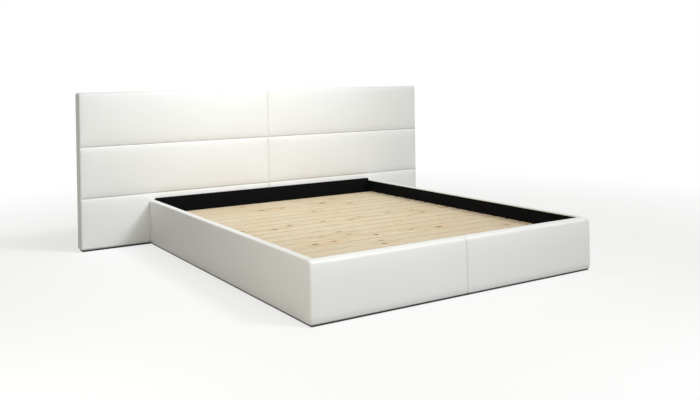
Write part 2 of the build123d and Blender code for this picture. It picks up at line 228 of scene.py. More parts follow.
soft_box("near_the_headboard", (-0.1, -0.05, 1.85), (-0.1, 1.0, 0.72), 1.2, 16, (0.88, 0.94, 1.0))
soft_box("before_the_foot", (0.0, -2.7, 1.35), (0.0, -1.0, 0.15), 1.4, 14.5, (0.92, 0.96, 1.0))
soft_box("beside_the_rail", (-2.4, -1.6, 1.0), (-0.85, -0.9, 0.2), 1.0, 12.7, (1.0, 0.97, 0.87))
key_data = bpy.data.lights.new("key", "SUN")
key_data.energy = 0.39 * math.pi
key_data.angle = math.radians(14)
key_data.color = (0.97, 0.985, 1.0)
key = bpy.data.objects.new("key", key_data)
key.rotation_euler = Vector((0.5, -0.55, 0.67)).to_track_quat("Z", "Y").to_euler()
scene.collection.objects.link(key)
scene.view_settings.view_transform = "Standard"

# %% [markdown]
# ## Shared effect: uneven tone
# No real surface has one flat colour. A large soft noise mixes the main colour with a second one, a
# little darker or yellower. It is the cheapest way to make a plain finish look made and used.

# %% Uneven tone
uneven_tone, given, result = open_group(
    "uneven_tone",
    {
        "Color": ("Color", (0.8, 0.8, 0.8, 1)),
        "Other Color": ("Color", (0.7, 0.7, 0.7, 1)),
        "Patch Size": ("Float", 0.3),
        "Amount": ("Float", 0.5),
    },
    {"Color": "Color", "Mask": "Float"},
)
place = add_node(uneven_tone, "TexCoord").outputs["Object"]
scale = compute(uneven_tone, "DIVIDE", 1.0, given["Patch Size"])
cloud = add_node(uneven_tone, "TexNoise", {"Vector": place, "Scale": scale, "Detail": 3.0})
mask = remap(uneven_tone, cloud.outputs[0], 0.35, 0.65)
share = compute(uneven_tone, "MULTIPLY", mask, given["Amount"])
toned = mix_colors(uneven_tone, share, given["Color"], given["Other Color"])
uneven_tone.links.new(toned, result["Color"])
uneven_tone.links.new(mask, result["Mask"])
print("group:", uneven_tone.name)

# %% [markdown]
# ## Shared effect: leather grain
# Artificial leather is embossed with a fine pebble pattern: small rounded cells about a millimetre wide
# with valleys between them. A Voronoi texture gives such cells. Bending its coordinates with a little
# noise takes away their machine look, and a slow second noise lets the sheet lie softly uneven.

# %% Leather grain
leather_grain, given, result = open_group(
    "leather_grain",
    {"Pebble Size": ("Float", 0.0014), "Wave Size": ("Float", 0.12), "Wave Share": ("Float", 0.6)},
    {"Height": "Float", "Valley": "Float"},
)
place = add_node(leather_grain, "TexCoord").outputs["Object"]
fine = compute(leather_grain, "DIVIDE", 1.0, given["Pebble Size"])
bend_scale = compute(leather_grain, "MULTIPLY", fine, 0.35)
bend = add_node(leather_grain, "TexNoise", {"Vector": place, "Scale": bend_scale, "Detail": 2.0})
reach = compute(leather_grain, "MULTIPLY", given["Pebble Size"], 1.6)
push = add_node(leather_grain, "VectorMath", {0: bend.outputs["Color"], 3: reach}, operation="SCALE")
bent = add_node(leather_grain, "VectorMath", {0: place, 1: push.outputs[0]}, operation="ADD")
pebbles = add_node(
    leather_grain, "TexVoronoi", {"Vector": bent.outputs[0], "Scale": fine, "Smoothness": 0.4},
    feature="SMOOTH_F1",
)
dome = compute(leather_grain, "SUBTRACT", 1.0, pebbles.outputs["Distance"])
valley = remap(leather_grain, pebbles.outputs["Distance"], 0.45, 0.75)
slow = compute(leather_grain, "DIVIDE", 1.0, given["Wave Size"])
wave = add_node(leather_grain, "TexNoise", {"Vector": place, "Scale": slow, "Detail": 1.0})
height = compute(leather_grain, "MULTIPLY_ADD", wave.outputs[0], given["Wave Share"], dome)
leather_grain.links.new(height, result["Height"])
leather_grain.links.new(valley, result["Valley"])
print("group:", leather_grain.name)

# %% [markdown]
# ## Finish: white leatherette
# The covers are white artificial leather with a silky surface. The colour is a neutral white that turns a
# touch warmer in patches. In the seams it is painted a little greyer: partly dust that settles there and
# partly painted shade where less light gets in. The meshes carry how near a point is to a seam, and how
# dark it is painted there, as an attribute named crease.

# %% White leatherette
leatherette, tree, shader = open_material("white_leatherette")
tone = place_group(
    tree, uneven_tone,
    {"Color": (0.865, 0.87, 0.86, 1), "Other Color": (0.83, 0.825, 0.80, 1), "Patch Size": 0.45,
     "Amount": 0.5},
)
# crease: how much painted seam shade and dust each point gets, mixed into the colour below
crease = add_node(tree, "Attribute", attribute_name="crease").outputs["Fac"]
dust_and_seam_shade = mix_colors(tree, compute(tree, "MULTIPLY", crease, 0.45), tone["Color"], (0.42, 0.41, 0.38, 1))
grain = place_group(tree, leather_grain, {"Pebble Size": 0.0014, "Wave Size": 0.09, "Wave Share": 1.5})
rough = compute(tree, "MULTIPLY_ADD", grain["Valley"], 0.12, 0.40)
bump = emboss(tree, grain["Height"], 0.00012, 0.6)
feed(tree, shader, {"Base Color": dust_and_seam_shade, "Roughness": rough, "Normal": bump})
print("material:", leatherette.name)

# %% [markdown]
# ## Shared effect: woven or pressed cloth
# Cloth is made of threads that cross. Two sets of soft ridges, one across and one along, give a plain
# weave where the higher of the two shows. The two directions are made from the object's own
# coordinates, so the weave needs no unwrapping and stays square on any upright or flat piece.

# %% Weave
weave, given, result = open_group(
    "weave",
    {"Thread Pitch": ("Float", 0.001), "Fuzz": ("Float", 0.4)},
    {"Height": "Float", "Gap": "Float"},
)
place = add_node(weave, "TexCoord").outputs["Object"]
axes = add_node(weave, "SeparateXYZ", {0: place}).outputs
turns = compute(weave, "DIVIDE", math.pi, given["Thread Pitch"])
across = compute(weave, "MULTIPLY", compute(weave, "ADD", axes["X"], axes["Y"]), turns)
along = compute(weave, "MULTIPLY", compute(weave, "SUBTRACT", axes["Z"], axes["X"]), turns)
warp = compute(weave, "ABSOLUTE", compute(weave, "SINE", across))
weft = compute(weave, "ABSOLUTE", compute(weave, "SINE", along))
thread = compute(weave, "MAXIMUM", warp, weft)
fuzz_scale = compute(weave, "DIVIDE", 0.7, given["Thread Pitch"])
fuzz = add_node(weave, "TexNoise", {"Vector": place, "Scale": fuzz_scale, "Detail": 3.0})
height = compute(weave, "MULTIPLY_ADD", fuzz.outputs[0], given["Fuzz"], thread)
weave.links.new(height, result["Height"])
weave.links.new(remap(weave, thread, 0.75, 0.45), result["Gap"])
print("group:", weave.name)

# %% [markdown]
# ## Finish: the cloths
# The well and the back of the headboard are covered with thin black lining cloth, and the slats hang
# together by two tapes of undyed webbing. All three use the weave, at different pitches and depths.


# %% Cloth materials
def cloth_material(name, color, other_color, pitch, depth, roughness):
    """A woven cloth of two close tones."""
    cloth, tree, shader = open_material(name)
    tone = place_group(
        tree, uneven_tone,
        {"Color": color, "Other Color": other_color, "Patch Size": 0.2, "Amount": 0.7},
    )
    threads = place_group(tree, weave, {"Thread Pitch": pitch, "Fuzz": 0.5})
    # The gaps between the threads are painted darker, as painted shade.
    shaded = mix_colors(tree, compute(tree, "MULTIPLY", threads["Gap"], 0.5), tone["Color"], (0, 0, 0, 1))
    feed(tree, shader, {
        "Base Color": shaded, "Roughness": roughness, "Specular IOR Level": 0.08,
        "Normal": emboss(tree, threads["Height"], depth, 0.7),
    })
    print("material:", name)
    return cloth


lining_cloth = cloth_material(
    "black_lining_cloth", (0.0035, 0.0035, 0.004, 1), (0.002, 0.002, 0.0025, 1), 0.0009, 0.0001, 0.85
)
backing_cloth = cloth_material(
    "black_backing_cloth", (0.017, 0.017, 0.018, 1), (0.011, 0.011, 0.012, 1), 0.0013, 0.00015, 0.9
)
tape_webbing = cloth_material(
    "undyed_webbing", (0.74, 0.71, 0.63, 1), (0.66, 0.62, 0.54, 1), 0.0016, 0.0003, 0.8
)

# %% [markdown]
# ## Shared effect: pine grain
# A pine slat is sawn along the trunk, so its year rings show as long bands that wander slowly. Noise that
# is stretched twentyfold along the slat gives the wandering, and a wave of it gives the bands. Each slat
# has its own random number, which shifts the pattern, so no two slats are alike.

# %% Pine grain
pine_grain, given, result = open_group(
    "pine_grain",
    {
        "Early Wood": ("Color", (0.8, 0.65, 0.42, 1)),
        "Late Wood": ("Color", (0.6, 0.42, 0.22, 1)),
        "Ring Width": ("Float", 0.012),
        "Contrast": ("Float", 0.5),
    },
    {"Color": "Color", "Ring": "Float", "Height": "Float"},
)
place = add_node(pine_grain, "TexCoord").outputs["Object"]
chance = add_node(pine_grain, "ObjectInfo").outputs["Random"]
shift = add_node(pine_grain, "CombineXYZ", {"X": compute(pine_grain, "MULTIPLY", chance, 37.0)})
moved = add_node(pine_grain, "VectorMath", {0: place, 1: shift.outputs[0]}, operation="ADD")
long = add_node(pine_grain, "Mapping", {"Vector": moved.outputs[0], "Scale": (0.8, 16.0, 16.0)})
wander = add_node(pine_grain, "TexNoise", {"Vector": long.outputs[0], "Scale": 1.0, "Detail": 2.0})
rings_in_one = compute(pine_grain, "DIVIDE", 0.5, given["Ring Width"])
phase = compute(pine_grain, "MULTIPLY", wander.outputs[0], rings_in_one)
saw = compute(pine_grain, "FRACT", phase)
ring = compute(pine_grain, "POWER", saw, 2.5)
fibre = add_node(pine_grain, "Mapping", {"Vector": moved.outputs[0], "Scale": (6.0, 420.0, 420.0)})
hairs = add_node(pine_grain, "TexNoise", {"Vector": fibre.outputs[0], "Scale": 1.0, "Detail": 2.0})
streak = remap(pine_grain, hairs.outputs[0], 0.35, 0.65)
dark = compute(pine_grain, "MULTIPLY_ADD", streak, 0.22, compute(pine_grain, "MULTIPLY", ring, 0.78))
share = compute(pine_grain, "MULTIPLY", dark, given["Contrast"])
wood = mix_colors(pine_grain, share, given["Early Wood"], given["Late Wood"])
pine_grain.links.new(wood, result["Color"])
pine_grain.links.new(ring, result["Ring"])
pine_grain.links.new(dark, result["Height"])
print("group:", pine_grain.name)

# %% [markdown]
# ## Shared effect: a knot
# A knot is where a branch left the trunk: a dark round core, a lighter ring and an amber halo that runs
# out along the grain. The group draws one knot at a place on the slats' tops. It is placed once for each
# knot, with its own place and size, because where the knots lie gives these slats their character.

# %% Knot
knot, given, result = open_group(
    "knot",
    {"Place": ("Vector", (0, 0, 0)), "Size": ("Float", 0.01)},
    {"Core": "Float", "Halo": "Float"},
)
here = add_node(knot, "TexCoord").outputs["Object"]
ripple = add_node(knot, "TexNoise", {"Vector": here, "Scale": 90.0, "Detail": 2.0})
away = add_node(knot, "VectorMath", {0: here, 1: given["Place"]}, operation="SUBTRACT")
flat = add_node(knot, "VectorMath", {0: away.outputs[0], 1: (0.62, 1.0, 0.3)}, operation="MULTIPLY")
reach = add_node(knot, "VectorMath", {0: flat.outputs[0]}, operation="LENGTH").outputs["Value"]
ratio = compute(knot, "DIVIDE", reach, given["Size"])
ratio = compute(knot, "MULTIPLY_ADD", compute(knot, "SUBTRACT", ripple.outputs[0], 0.5), 0.5, ratio)
stretched = add_node(knot, "VectorMath", {0: away.outputs[0], 1: (0.22, 1.0, 0.3)}, operation="MULTIPLY")
trail = add_node(knot, "VectorMath", {0: stretched.outputs[0]}, operation="LENGTH").outputs["Value"]
trail = compute(knot, "DIVIDE", trail, given["Size"])
knot.links.new(remap(knot, ratio, 0.95, 0.45), result["Core"])
knot.links.new(remap(knot, trail, 1.9, 0.3), result["Halo"])
print("group:", knot.name)

# %% [markdown]
# ## Finish: pine slats
# The slats are planed, unfinished pine: pale, slightly yellow, with small brown knots. The list gives each
# knot's place across and along the bed and its size, which one factor enlarges for all of them.

# %% Pine
knots = [
    (-0.27, 0.86, 0.011), (-0.23, 0.660, 0.016), (-0.16, 0.675, 0.010), (-0.07, 0.665, 0.012),
    (-0.62, 0.085, 0.010), (-0.455, 0.025, 0.012), (-0.33, 0.085, 0.013), (-0.11, 0.083, 0.011),
    (0.05, 0.025, 0.010), (0.14, 0.080, 0.010), (0.38, 0.800, 0.011), (0.68, 0.885, 0.011),
    (0.235, 0.680, 0.018), (0.38, 0.560, 0.014), (0.775, 0.430, 0.012), (0.55, -0.015, 0.014),
    (0.54, 0.085, 0.010), (0.37, 0.100, 0.011), (0.325, -0.455, 0.015), (0.155, -0.425, 0.010),
    (-0.20, -0.245, 0.010), (-0.19, -0.335, 0.012), (-0.35, -0.310, 0.010), (-0.47, -0.455, 0.013),
    (-0.35, -0.445, 0.010), (-0.145, -0.570, 0.010), (-0.175, -0.645, 0.011), (-0.08, -0.430, 0.010),
    (-0.70, 0.315, 0.010), (0.02, 0.430, 0.010), (0.66, -0.640, 0.011), (-0.55, -0.860, 0.009),
]
slat_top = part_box("slat_01")[1].z
knot_growth = 1.35

pine, tree, shader = open_material("planed_pine")
patches = place_group(
    tree, uneven_tone,
    {"Color": (0.76, 0.66, 0.50, 1), "Other Color": (0.72, 0.56, 0.33, 1), "Patch Size": 0.30,
     "Amount": 0.6},
)
wood = place_group(
    tree, pine_grain,
    {"Early Wood": patches["Color"], "Late Wood": (0.54, 0.38, 0.20, 1), "Ring Width": 0.03, "Contrast": 0.75},
)
color = wood["Color"]
for x, y, size in knots:
    spot = place_group(tree, knot, {"Place": (x, y, slat_top), "Size": knot_growth * size})
    color = mix_colors(tree, compute(tree, "MULTIPLY", spot["Halo"], 0.5), color, (0.60, 0.36, 0.15, 1))
    color = mix_colors(tree, compute(tree, "MULTIPLY", spot["Core"], 0.95), color, (0.13, 0.06, 0.025, 1))
# Each slat is made paler by its own random share, and its upright sides paler still: painted light, where the
# lamps reach the sides less than the tops.
chance = add_node(tree, "ObjectInfo").outputs["Random"]
sides = add_node(tree, "SeparateXYZ", {0: add_node(tree, "TexCoord").outputs["Normal"]}).outputs["Z"]
sides = remap(tree, compute(tree, "ABSOLUTE", sides), 0.85, 0.25)
tone_and_painted_side_light = mix_colors(tree, compute(tree, "MULTIPLY", chance, 0.4), color, (0.62, 0.51, 0.36, 1))
tone_and_painted_side_light = mix_colors(tree, compute(tree, "MULTIPLY", sides, 0.7), tone_and_painted_side_light, (0.80, 0.70, 0.53, 1))
rough = compute(tree, "MULTIPLY_ADD", wood["Ring"], -0.1, 0.62)
bump = emboss(tree, wood["Height"], 0.0002, 0.5)
feed(tree, shader, {"Base Color": tone_and_painted_side_light, "Roughness": rough, "Normal": bump})
print("material:", pine.name, "with", len(knots), "knots")

# %% Sawn pine for the ledges and the beam
sawn_pine, tree, shader = open_material("sawn_pine")
turned = {"Early Wood": (0.76, 0.62, 0.42, 1), "Late Wood": (0.58, 0.41, 0.22, 1), "Ring Width": 0.02}
wood = place_group(tree, pine_grain, {**turned, "Contrast": 0.6})
place = add_node(tree, "TexCoord").outputs["Object"]
saw_marks = add_node(
    tree, "TexWave", {"Vector": place, "Scale": 60.0, "Distortion": 3.0, "Detail": 2.0},
    bands_direction="Y",
)
bump = emboss(tree, saw_marks.outputs["Fac"], 0.0004, 0.5)
feed(tree, shader, {"Base Color": wood["Color"], "Roughness": 0.8, "Normal": bump})
print("material:", sawn_pine.name)

# %% [markdown]
# ## Finish: chipboard
# The boards under the covers are chipboard, pressed from small flat chips of many tones. Voronoi cells,
# stretched a little and coloured at random between a pale and a dark wood, look like those chips.

# %% Chipboard
chipboard, tree, shader = open_material("chipboard")
place = add_node(tree, "TexCoord").outputs["Object"]
squeezed = add_node(tree, "Mapping", {"Vector": place, "Scale": (130.0, 130.0, 260.0)}).outputs[0]
chips = add_node(tree, "TexVoronoi", {"Vector": squeezed, "Scale": 1.0})
tint = add_node(tree, "SeparateXYZ", {0: chips.outputs["Color"]}).outputs[0]
chip_color = mix_colors(tree, tint, (0.70, 0.56, 0.37, 1), (0.42, 0.29, 0.16, 1))
bump = emboss(tree, tint, 0.0003, 0.6)
feed(tree, shader, {"Base Color": chip_color, "Roughness": 0.75, "Normal": bump})
print("material:", chipboard.name)

# %% [markdown]
# ## Finish: zinc-plated steel and black plastic
# The fittings are steel with a thin zinc plating, bright but not polished, with a faint cloudy spangle
# and fine scratches that blur what it mirrors. The base strips and the screwed feet are black moulded
# plastic with a fine eroded texture.

# %% Fittings
zinc, tree, shader = open_material("zinc_plated_steel")
tone = place_group(
    tree, uneven_tone,
    {"Color": (0.70, 0.71, 0.72, 1), "Other Color": (0.55, 0.55, 0.53, 1), "Patch Size": 0.012,
     "Amount": 0.6},
)
rough = compute(tree, "MULTIPLY_ADD", tone["Mask"], 0.18, 0.30)
feed(tree, shader, {"Base Color": tone["Color"], "Roughness": rough, "Metallic": 1.0})
print("material:", zinc.name)

black_plastic, tree, shader = open_material("black_plastic")
tone = place_group(
    tree, uneven_tone,
    {"Color": (0.012, 0.012, 0.012, 1), "Other Color": (0.025, 0.024, 0.022, 1), "Patch Size": 0.05,
     "Amount": 0.6},
)
place = add_node(tree, "TexCoord").outputs["Object"]
spark = add_node(tree, "TexNoise", {"Vector": place, "Scale": 2500.0, "Detail": 1.0})
bump = emboss(tree, spark.outputs[0], 0.00006, 0.5)
feed(tree, shader, {"Base Color": tone["Color"], "Roughness": 0.5, "Normal": bump})
print("material:", black_plastic.name)

# %% [markdown]
# ## The rigid pieces keep their CAD shape
# Slats, boards, ledges, brackets, bolts, legs and feet are right as they were drawn, so each only gets a
# finish. The slot's name in the record says which.

# %% Finish the rigid pieces
finishes = {
    "leatherette": leatherette,
    "black_lining": lining_cloth,
    "backing_cloth": backing_cloth,
    "pine": pine,
    "sawn_pine": sawn_pine,
    "chipboard": chipboard,
    "black_plastic": black_plastic,
    "zinc_steel": zinc,
    "tape": tape_webbing,
}
for row in frame["record"]["subparts"]:
    piece = nodes[row["node"]]
    finish = finishes[row["material_slot"]]
    if not piece.material_slots:
        piece.data.materials.append(finish)
    for holder in piece.material_slots:
        holder.material = finish
print("finished", len(nodes), "CAD pieces")

# %% [markdown]
# ## Skins from rings
# Most soft pieces are long: a cell runs across the headboard, a cover runs along a rail, a cloth runs
# along a board. Such a piece is a row of closed rings, one for each place along it, joined by faces and
# capped at both ends. Edges that fold sharply are marked, so that smooth shading stops there.


# %% Skins
def strip(first, count):
    """The faces between a ring of points and the next one."""
    faces = []
    for step in range(count):
        after = (step + 1) % count
        faces.append((first + step, first + after, first + count + after, first + count + step))
    return faces


def shell(name, points, faces, finish, outward=True, sharp=None):
    """An object from points and faces, shaded smooth up to the angle `sharp` where one is given."""
    mesh = bpy.data.meshes.new(name)
    mesh.from_pydata(points, [], faces)
    shape = bmesh.new()
    shape.from_mesh(mesh)
    if outward:
        bmesh.ops.recalc_face_normals(shape, faces=shape.faces)
    if sharp is not None:
        for face in shape.faces:
            face.smooth = True
        for edge in shape.edges:
            edge.smooth = edge.calc_face_angle(0) < sharp
    shape.to_mesh(mesh)
    shape.free()
    mesh.materials.append(finish)
    piece = bpy.data.objects.new(name, mesh)
    scene.collection.objects.link(piece)
    return piece


def skin(name, rings, finish, creases=None):
    """Join rings of points to a closed skin that rides on the bed's frame."""
    count = len(rings[0])
    last = (len(rings) - 1) * count
    faces = [face for first in range(0, last, count) for face in strip(first, count)]
    faces += [tuple(range(count)), tuple(range(last, last + count))]
    points = [point for ring in rings for point in ring]
    piece = shell(name, points, faces, finish, sharp=math.radians(40))
    if creases:
        piece.data.attributes.new("crease", "FLOAT", "POINT").data.foreach_set("value", creases)
    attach(piece, "bed_frame")
    return piece


def stations(length, near, spacing):
    """Places along a length, close together near both ends and about `spacing` apart between."""
    last = near[-1]
    count = max(2, round((length - 2 * last) / spacing))
    middle = [last + (length - 2 * last) * step / count for step in range(1, count)]
    return [0.0, *near, *middle, *[length - place for place in reversed(near)], length]


def roll_over(distance, width):
    """Height of a soft edge, from 0 at the seam to 1 where it has rolled over, `width` away."""
    left = min(1.0, max(0.0, 1 - distance / width))
    return math.sqrt(1 - left * left)


def looseness(distance):
    """How free a point is to swell, from 0 close to a seam to 1 a few centimetres away."""
    return min(1.0, max(0.0, (distance - 0.004) / 0.03))


def hold(piece, free):
    """Note for the swelling how firmly each point is held, from how free it is."""
    held = piece.vertex_groups.new(name="held")
    for index, share in enumerate(free):
        held.add([index], 1 - share, "REPLACE")


print("skin helpers ready")

# %% [markdown]
# ## Padded cells of the headboard
# Each cell is foam under a tight cover that is sewn down along its four sides. Away from the seams the
# foam stands at its full height. Near a groove between two cells the cover rolls over and dives in, and
# at the headboard's rim it only bends down a little to meet the band. The height is the product of the
# roll-overs, which draws the corners in as real sewing does. Along the seams the cover gathers in small
# puckers, made with a noise that dies out within a hand.

# %% Cells
groove = 0.012
crown_height = 0.0025
rim_drop = 0.005
groove_roll = 0.036
rim_roll = 0.018
cell_swell = 0.002
# How dark the cover is painted beside its seams, as painted shade with some dust, and how far in that reaches
groove_shade_reach, rim_shade_reach = 0.0025, 0.0015
column_shade, row_shade = 0.2, 0.7
crown_reach_across, crown_reach_up = 0.16, 0.13
pucker_depth, pucker_reach = 0.0011, 0.022
cell_spacing = 0.024
full_height = groove - crown_height - cell_swell
rim_dip = 1 - (groove - crown_height - rim_drop) / full_height
near_seam = (0.0012, 0.0035, 0.007, 0.011, 0.016, 0.022, 0.029, 0.037, 0.048, 0.065, 0.09)
cells = []


def pucker(along, away, seed):
    """Small gathers of the cover beside a seam."""
    fade = math.exp(-away / pucker_reach) * min(1.0, away / 0.006)
    return pucker_depth * fade * noise.noise(Vector((along * 24, away * 10, seed)))


def smooth(share):
    """Ease from 0 to 1 without a corner at either end."""
    share = min(1.0, max(0.0, share))
    return share * share * (3 - 2 * share)


def cell_height(sides):
    """Height and crease of the cover, the crease being its share of painted seam shade, from each side's
    distance, place and how dark its seam is painted.
    """
    height = 1.0
    rim = 1.0
    crease = 0.0
    for distance, on_rim, darkness in sides:
        if on_rim:
            rim = min(rim, 1 - rim_dip * (1 - roll_over(distance, rim_roll)))
            crease = max(crease, darkness * math.exp(-distance / rim_shade_reach))
        else:
            height *= roll_over(distance, groove_roll)
            crease = max(crease, darkness * math.exp(-distance / groove_shade_reach))
    return full_height * height * rim, crease


def headboard_cell(row, half):
    """A padded cell in the place of a CAD pad."""
    node = f"headboard_pad_{row}_{half}"
    low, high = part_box(node)
    bed = low.y + groove
    seed = low.x * 3 + low.z * 7
    rings = []
    creases = []
    for x in stations(high.x - low.x, near_seam, cell_spacing):
        from_right = high.x - low.x - x
        side = min(x, from_right)
        ring = []
        for z in stations(high.z - low.z, near_seam, cell_spacing):
            from_top = high.z - low.z - z
            end = min(z, from_top)
            height, crease = cell_height((
                (x, half == "left", column_shade), (from_right, half == "right", column_shade),
                (z, row == "bottom", row_shade), (from_top, row == "top", row_shade),
            ))
            crown = smooth(side / crown_reach_across) * smooth(end / crown_reach_up)
            ridge = pucker(x, end, seed) + pucker(z, side, seed + 5)
            ring.append((low.x + x, bed - height - crown_height * crown - ridge, low.z + z))
            creases.append(crease)
        ring.append((low.x + x, high.y, high.z))
        ring.append((low.x + x, high.y, low.z))
        creases.extend((1.0, 1.0))
        rings.append(ring)
    piece = skin(f"headboard_cell_{row}_{half}", rings, leatherette, creases)
    loose = []
    for point in [vertex.co for vertex in piece.data.vertices]:
        side = min(point.x - low.x, high.x - point.x, point.z - low.z, high.z - point.z)
        loose.append(looseness(side) if point.y < bed + 0.001 else 0.0)
    hold(piece, loose)
    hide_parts(node)
    return piece


for row in ("bottom", "middle", "top"):
    for half in ("left", "right"):
        cells.append(headboard_cell(row, half))
print("cells:", len(cells), "with", len(cells[0].data.vertices), "points each")

# %% [markdown]
# ## Borders of the headboard
# A band of the same leatherette closes each half of the headboard at its bottom, outer side and top. It is
# swept along that path: straight runs and two rounded corners. Its front edge turns in towards the seam.

# %% Borders
band_corner = 0.015
band_turn = 0.014
band_thickness = 0.006
band_inset = 0.0055
corner_steps = 8


def band_path(left, right, low, high, sign):
    """Points of the band's outer edge with their outward directions, from the joint and back to it."""
    path = []
    for x in [right * (1 - step / 30) + (left + band_corner) * step / 30 for step in range(30)]:
        path.append(((x, low), (0, -1)))
    for centre_z, start in ((low + band_corner, -90), (high - band_corner, -180)):
        for step in range(corner_steps + 1):
            angle = math.radians(start - 90 * step / corner_steps)
            way = (math.cos(angle), math.sin(angle))
            centre = (left + band_corner, centre_z)
            path.append(((centre[0] + band_corner * way[0], centre[1] + band_corner * way[1]), way))
        if start == -90:
            for step in range(1, 24):
                z = low + band_corner + (high - low - 2 * band_corner) * step / 24
                path.append(((left, z), (-1, 0)))
    for x in [(left + band_corner) * (1 - step / 30) + right * step / 30 for step in range(1, 31)]:
        path.append(((x, high), (0, 1)))
    return [((sign * x, z), (sign * way_x, way_z)) for (x, z), (way_x, way_z) in path]


def border(node, sign):
    """The boxing band of one half of the headboard."""
    low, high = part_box(node)
    outer = min(abs(low.x), abs(high.x)), max(abs(low.x), abs(high.x))
    back = high.y
    front = low.y
    profile = [(0.0, back), (-0.0004, back - 0.015), (-0.0006, back - 0.03), (-0.0003, back - 0.045)]
    for step in range(7):
        angle = math.radians(90 * step / 6)
        profile.append((band_inset * (1 - math.cos(angle)), front + band_turn * (1 - math.sin(angle))))
    profile += [(band_thickness, front + 0.001), (band_thickness, back)]
    rings = []
    creases = []
    for (x, z), (way_x, way_z) in band_path(-outer[1], -outer[0], low.z, high.z, sign):
        rings.append([(x - inset * way_x, y, z - inset * way_z) for inset, y in profile])
        # The band's edge that turns in to the seam is painted darker, as painted shade with some dust.
        creases += [math.exp((inset - band_thickness) / 0.0015) for inset, y in profile]
    piece = skin(node.replace("border", "band"), rings, leatherette, creases)
    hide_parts(node)
    return piece


bands = [border("headboard_border_left", 1), border("headboard_border_right", -1)]
print("bands:", [band.name for band in bands])

# %% [markdown]
# ## Covers of the rails
# One cover wraps half of the bed box: it runs down a side rail, goes round the front corner without a
# seam and ends in the middle of the foot rail, where it is sewn to the other half. Its section is a
# padded face, a soft upper edge, a flat top and a fold that is stapled down inside. The sections
# stand along the outer edge of the plan, and lean over in the corner so that the inner fold meets there.

# %% Section of a cover
side_low, side_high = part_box("side_rail_pad_left")
foot_low, foot_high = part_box("foot_rail_pad_left")
board_low, board_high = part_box("side_rail_board_left")
foot_board_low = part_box("foot_rail_board")[0]
rail_base = side_low.z
rail_top = side_high.z
fold_bottom = board_high.z
bed_half = -side_low.x
well_half = -side_high.x
foot_face = foot_low.y
well_foot = foot_high.y
side_padding = board_low.x - side_low.x
foot_padding = foot_board_low.y - foot_low.y
rail_swell = 0.0015
side_edge = 0.008
foot_edge = 0.024
side_shoulder = 0.003
foot_shoulder = 0.006
shoulder_reach = 0.12
low_edge = 0.007
low_tuck = 0.002
tuck_reach = 0.12


def face_inset(z, shoulder):
    """How far the padded face stands back from the outermost line at a height."""
    from_top = rail_top - z
    from_base = z - rail_base
    inset = rail_swell
    if from_top < shoulder_reach:
        inset += shoulder * (1 - from_top / shoulder_reach) ** 2.2
    if from_base < tuck_reach:
        inset += low_tuck * (1 - from_base / tuck_reach) ** 2
    return inset


def cover_section():
    """The section as places: how far in from the face, in metres or shares, and the height."""
    section = [("back", rail_base), ("low", 0)]
    for step in range(4):
        section.append(("low edge", step / 4))
    for step in range(1, 15):
        section.append(("face", step / 15))
    for step in range(9):
        section.append(("top edge", step / 8))
    section += [("top", 0.35), ("top", 0.7), ("top", 1.0), ("fold", 1.0), ("under", 1.0)]
    return section


def section_point(place, share, padding, thickness, blend):
    """Inset from the outer line and height of one point of the section, from the side (0) to the foot (1)."""
    soft_edge = side_edge + (foot_edge - side_edge) * blend
    shoulder = side_shoulder + (foot_shoulder - side_shoulder) * blend
    low_face = rail_base + low_edge
    high_face = rail_top - soft_edge
    if place == "back":
        return padding, rail_base
    if place == "low":
        return (low_edge + padding) / 2, rail_base
    if place == "low edge":
        angle = math.pi / 2 * share
        inset = face_inset(low_face, shoulder) + low_edge * (1 - math.sin(angle))
        return inset, low_face - low_edge * math.cos(angle)
    if place == "face":
        z = low_face + (high_face - low_face) * (1 - (1 - share) ** 1.6)
        return face_inset(z, shoulder), z
    if place == "top edge":
        angle = math.pi / 2 * share
        inset = face_inset(high_face, shoulder) + soft_edge * (1 - math.cos(angle))
        return inset, high_face + soft_edge * math.sin(angle)
    if place == "top":
        edge = face_inset(high_face, shoulder) + soft_edge
        return edge + (thickness - edge) * share, rail_top
    if place == "fold":
        return thickness, fold_bottom
    return padding, fold_bottom


print("cover section:", len(cover_section()), "points")

# %% [markdown]
# The path of a cover has two lines that run together: the outer line along the padding, with a rounded
# corner, and the inner line along the edge of the mattress well, with a sharp one.

# %% Path of a cover
corner_radius = 0.010
corner_zone = 0.06
foot_seam = 0.0003
head_end = side_high.y


def cover_path():
    """Outer point, inner point and blend from side to foot, for each section along the path."""
    side_turn = well_foot + corner_zone
    foot_turn = -well_half + corner_zone
    path = []
    for step in stations(head_end - side_turn, (0.004, 0.012), 0.026)[:-1]:
        y = head_end - step
        path.append(((-bed_half, y), (-well_half, y), 0.0))
    straight = side_turn - foot_face - corner_radius
    outer = [(-bed_half, side_turn - straight * step / 6) for step in range(6)]
    for step in range(9):
        angle = math.radians(180 + 90 * step / 8)
        outer.append((
            -bed_half + corner_radius * (1 + math.cos(angle)),
            foot_face + corner_radius * (1 + math.sin(angle)),
        ))
    straight = foot_turn + bed_half - corner_radius
    outer += [(-bed_half + corner_radius + straight * step / 6, foot_face) for step in range(1, 7)]
    half = (len(outer) - 1) / 2
    for step, point in enumerate(outer):
        if step <= half:
            inner = (-well_half, side_turn + (well_foot - side_turn) * step / half)
        else:
            inner = (-well_half + corner_zone * (step - half) / half, well_foot)
        path.append((point, inner, step / (len(outer) - 1)))
    for step in stations(-foot_seam - foot_turn, (0.001, 0.003, 0.006, 0.010, 0.016, 0.024), 0.026)[1:]:
        x = foot_turn + step
        if step > 0.03:
            path.append(((x, foot_face), (x, well_foot), 1.0))
    return path


print("cover path:", len(cover_path()), "sections")

# %% [markdown]
# At the middle seam the two halves are pulled together, so the face dives in over two centimetres.
# Elsewhere the cover is a little uneven, as hand-stapled leatherette is: a slow noise moves it by
# less than a millimetre.

# %% Covers
seam_roll = 0.020
seam_depth = 0.005
seam_shade, seam_shade_reach = 0.18, 0.003
unevenness = 0.0007


